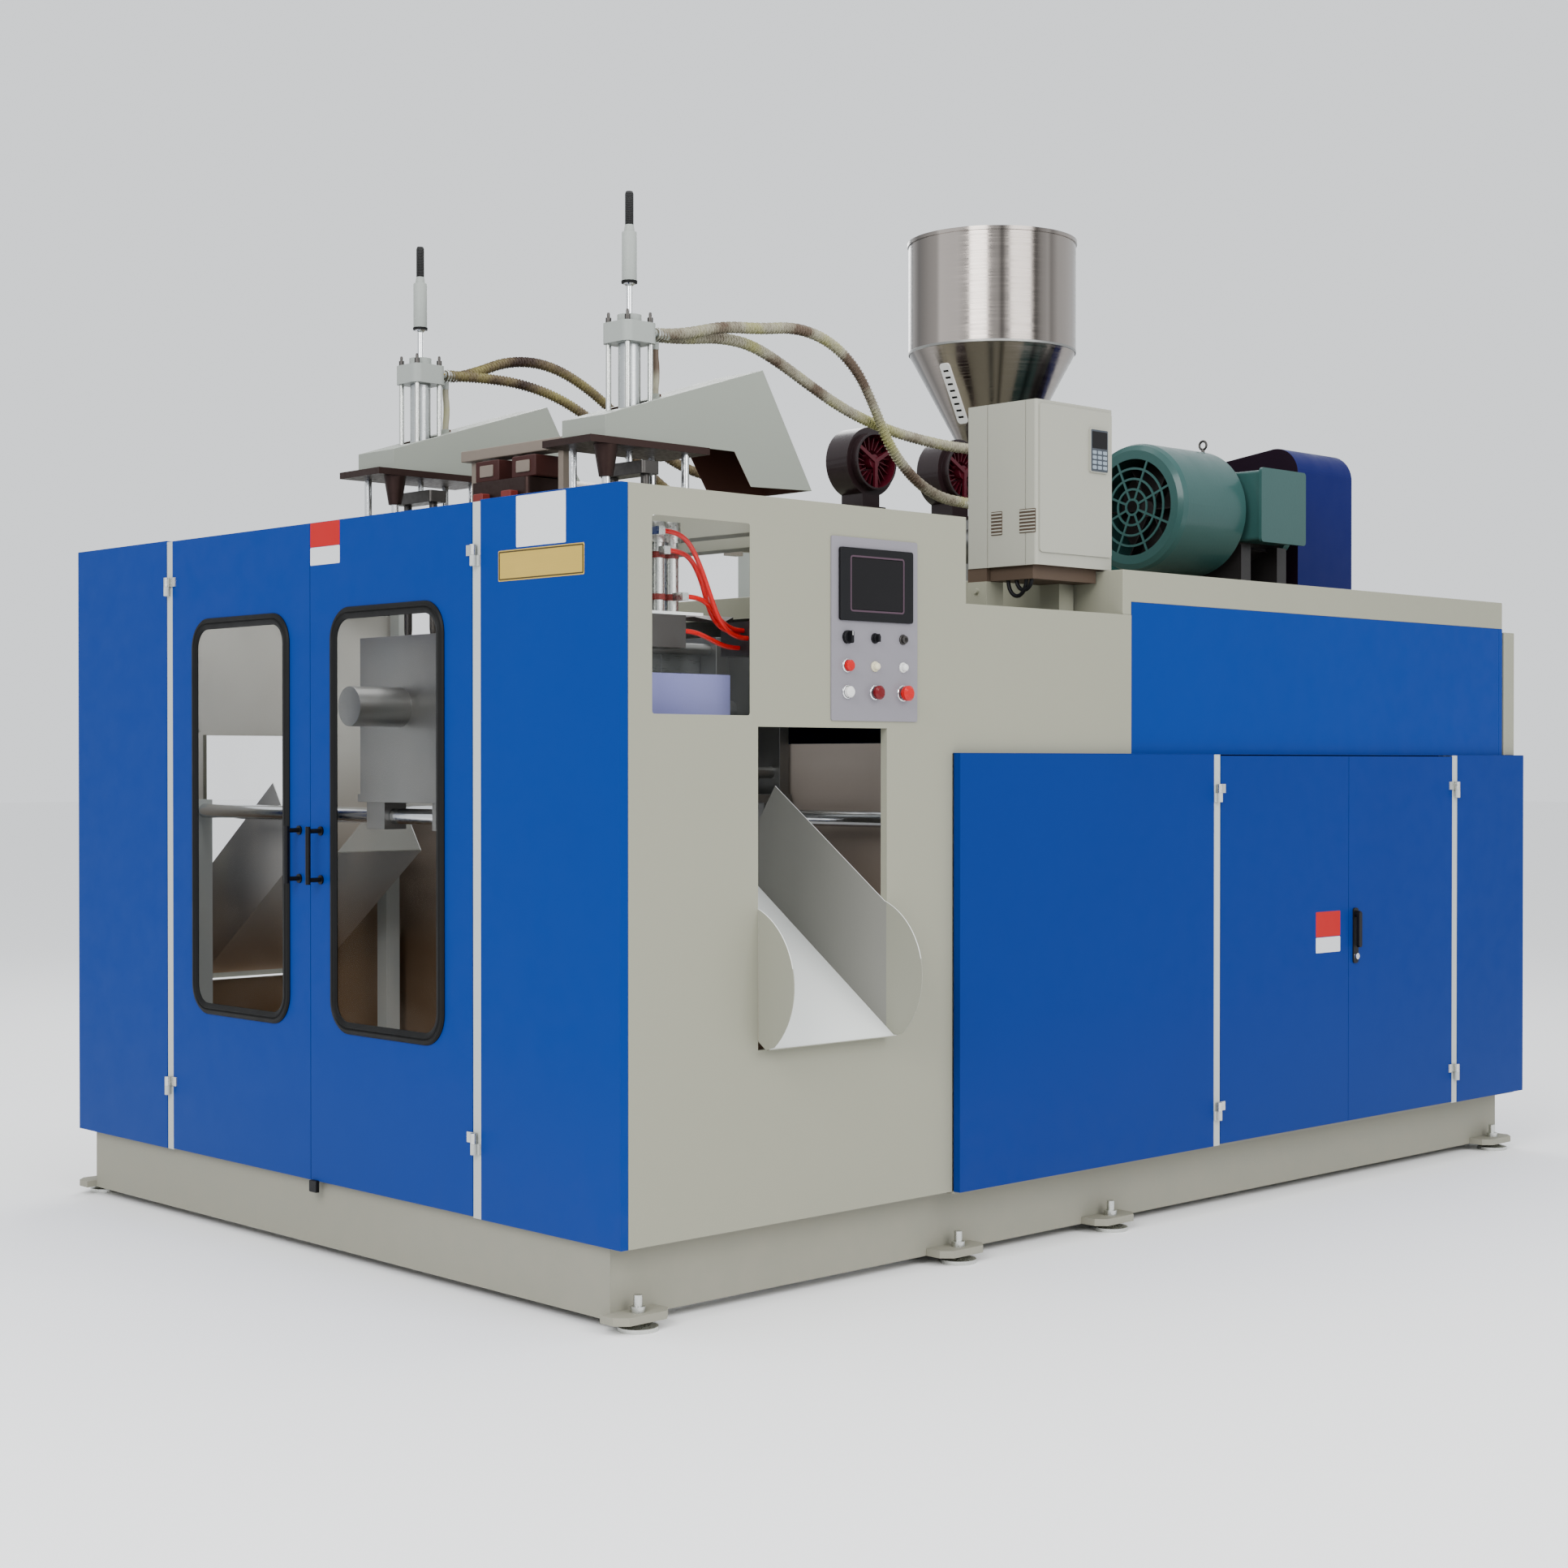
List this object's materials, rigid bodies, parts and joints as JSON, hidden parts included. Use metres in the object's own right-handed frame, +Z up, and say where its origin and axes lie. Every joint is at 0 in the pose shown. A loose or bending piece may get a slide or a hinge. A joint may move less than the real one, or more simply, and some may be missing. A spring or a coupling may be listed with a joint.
{
  "type": "blow moulding machine",
  "caption": "Extrusion blow moulding machine with an enclosed mould bay, side discharge chutes, blow stations, feed hopper, extruder and belt-driven motor on the rear deck.",
  "frame": {"origin": "floor level, in the middle of the machine's width and length", "axes": "+Z up, +X towards the operator's control panel side, -Y towards the glazed front doors"},
  "size_m": [3.2346, 4.6, 3.544],
  "materials": {
    "panel_blue": "satin",
    "guard_blue": "satin",
    "cream_paint": "satin",
    "base_paint": "satin",
    "chute_paint": "satin",
    "motor_green": "gloss",
    "inverter_plastic": "satin",
    "blower_dark": "satin",
    "machined_steel": "satin",
    "bright_steel": "polished",
    "band_steel": "satin",
    "stainless": "polished",
    "cast_iron": "satin",
    "mould_aluminium": "satin",
    "black_plastic": "matt",
    "red_plastic": "gloss",
    "lamp_plastic": "gloss",
    "window_glass": "clear",
    "rubber": "matt",
    "hose": "satin"
  },
  "bodies": {
    "machine_frame": {"air_hoses": "hose", "barrel": "machined_steel", "barrel_blowers": "blower_dark", "base_frame": "base_paint", "belt_guard": "guard_blue", "blow_cylinders": "machined_steel", "blow_frames": "machined_steel", "blow_hoods": "cream_paint", "chutes": "chute_paint", "control_plate": "machined_steel", "cross_beams": "cream_paint", "die_head": "machined_steel", "drive_belts": "rubber", "enclosure_posts": "cream_paint", "front_panels": "panel_blue", "gearbox": "motor_green", "guide_rails": "bright_steel", "heater_bands": "band_steel", "hopper": "stainless", "inverter_case": "inverter_plastic", "inverter_stand": "cream_paint", "levelling_feet": "machined_steel", "lower_panels": "panel_blue", "motor_body": "motor_green", "motor_cowl": "motor_green", "motor_rails": "machined_steel", "panel_lamps": "lamp_plastic", "rear_deck": "cream_paint", "roof_sheets": "cream_paint", "side_panels": "cream_paint", "side_windows": "window_glass", "terminal_box": "motor_green", "touch_screen": "black_plastic", "upper_panels": "panel_blue", "valve_racks": "machined_steel"},
    "left_door": {"left_door": "panel_blue", "left_door_window": "window_glass", "left_door_handle": "black_plastic"},
    "right_door": {"right_door": "panel_blue", "right_door_window": "window_glass", "right_door_handle": "black_plastic"},
    "cabinet_door_front": {"cabinet_door_front": "panel_blue"},
    "cabinet_door_rear": {"cabinet_door_rear": "panel_blue"},
    "cabinet_lever": {"cabinet_lever": "black_plastic"},
    "left_carriage": {"left_carriage": "machined_steel"},
    "right_carriage": {"right_carriage": "machined_steel"},
    "left_clamp_front": {"left_clamp_front": "mould_aluminium"},
    "left_clamp_rear": {"left_clamp_rear": "mould_aluminium"},
    "right_clamp_front": {"right_clamp_front": "mould_aluminium"},
    "right_clamp_rear": {"right_clamp_rear": "mould_aluminium"},
    "left_blow_rod": {"left_blow_rod": "bright_steel"},
    "right_blow_rod": {"right_blow_rod": "bright_steel"},
    "screw": {"screw": "bright_steel"},
    "motor_shaft": {"motor_shaft": "bright_steel"},
    "input_pulley": {"input_pulley": "cast_iron"},
    "red_button": {"red_button": "red_plastic"},
    "white_button": {"white_button": "lamp_plastic"},
    "mushroom_button": {"mushroom_button": "red_plastic"},
    "e_stop_button": {"e_stop_button": "red_plastic"},
    "mode_selector": {"mode_selector": "black_plastic"}
  },
  "joints": [
    {"name": "left_door_swing", "type": "hinge", "parent": "machine_frame", "child": "left_door", "pos_m": [-0.846, -2.256, 1.2], "axis": [0, 0, -1], "range_deg": [0, 110]},
    {"name": "right_door_swing", "type": "hinge", "parent": "machine_frame", "child": "right_door", "pos_m": [0.846, -2.256, 1.2], "axis": [0, 0, 1], "range_deg": [0, 110]},
    {"name": "cabinet_door_front_swing", "type": "hinge", "parent": "machine_frame", "child": "cabinet_door_front", "pos_m": [1.516, 0.309, 0.87], "axis": [0, 0, -1], "range_deg": [0, 110]},
    {"name": "cabinet_door_rear_swing", "type": "hinge", "parent": "machine_frame", "child": "cabinet_door_rear", "pos_m": [1.516, 1.799, 0.87], "axis": [0, 0, 1], "range_deg": [0, 110]},
    {"name": "cabinet_lever_turn", "type": "hinge", "parent": "cabinet_door_rear", "child": "cabinet_lever", "pos_m": [1.505, 1.1293, 0.962], "axis": [1, 0, 0], "range_deg": [0, 90]},
    {"name": "left_carriage_shuttle", "type": "slide", "parent": "machine_frame", "child": "left_carriage", "axis": [1, 0, 0], "range_m": [-0.558, 0]},
    {"name": "right_carriage_shuttle", "type": "slide", "parent": "machine_frame", "child": "right_carriage", "axis": [1, 0, 0], "range_m": [-0.558, 0]},
    {"name": "left_front_mould_open", "type": "slide", "parent": "left_carriage", "child": "left_clamp_front", "axis": [0, -1, 0], "range_m": [0, 0.15]},
    {"name": "left_rear_mould_open", "type": "slide", "parent": "left_carriage", "child": "left_clamp_rear", "axis": [0, 1, 0], "range_m": [0, 0.15]},
    {"name": "right_front_mould_open", "type": "slide", "parent": "right_carriage", "child": "right_clamp_front", "axis": [0, -1, 0], "range_m": [0, 0.15]},
    {"name": "right_rear_mould_open", "type": "slide", "parent": "right_carriage", "child": "right_clamp_rear", "axis": [0, 1, 0], "range_m": [0, 0.15]},
    {"name": "left_blow_stroke", "type": "slide", "parent": "machine_frame", "child": "left_blow_rod", "axis": [0, 0, -1], "range_m": [0, 0.08]},
    {"name": "right_blow_stroke", "type": "slide", "parent": "machine_frame", "child": "right_blow_rod", "axis": [0, 0, -1], "range_m": [0, 0.08]},
    {"name": "motor_spin", "type": "hinge", "parent": "machine_frame", "child": "motor_shaft", "pos_m": [0.78, 1.255, 2.44], "axis": [0, 1, 0], "continuous": true},
    {"name": "gearbox_input_spin", "type": "hinge", "parent": "machine_frame", "child": "input_pulley", "pos_m": [0, 1.555, 2.345], "axis": [0, 1, 0], "continuous": true},
    {"name": "screw_spin", "type": "hinge", "parent": "machine_frame", "child": "screw", "pos_m": [0, -0.045, 2.345], "axis": [0, 1, 0], "continuous": true},
    {"name": "red_button_press", "type": "slide", "parent": "machine_frame", "child": "red_button", "axis": [-1, 0, 0], "range_m": [0, 0.006], "stiffness_N_per_m": 400},
    {"name": "white_button_press", "type": "slide", "parent": "machine_frame", "child": "white_button", "axis": [-1, 0, 0], "range_m": [0, 0.006], "stiffness_N_per_m": 400},
    {"name": "mushroom_button_press", "type": "slide", "parent": "machine_frame", "child": "mushroom_button", "axis": [-1, 0, 0], "range_m": [0, 0.006], "stiffness_N_per_m": 400},
    {"name": "e_stop_button_press", "type": "slide", "parent": "machine_frame", "child": "e_stop_button", "axis": [-1, 0, 0], "range_m": [0, 0.006], "stiffness_N_per_m": 400},
    {"name": "mode_selector_turn", "type": "hinge", "parent": "machine_frame", "child": "mode_selector", "pos_m": [1.479, -1.413, 1.858], "axis": [1, 0, 0], "range_deg": [-45, 45]}
  ],
  "couplings": [
    {"joint": "right_carriage_shuttle", "follows": "left_carriage_shuttle", "ratio": 1},
    {"joint": "left_rear_mould_open", "follows": "left_front_mould_open", "ratio": 1},
    {"joint": "right_rear_mould_open", "follows": "right_front_mould_open", "ratio": 1},
    {"joint": "gearbox_input_spin", "follows": "motor_spin", "ratio": 0.55263},
    {"joint": "screw_spin", "follows": "motor_spin", "ratio": 0.036842}
  ]
}
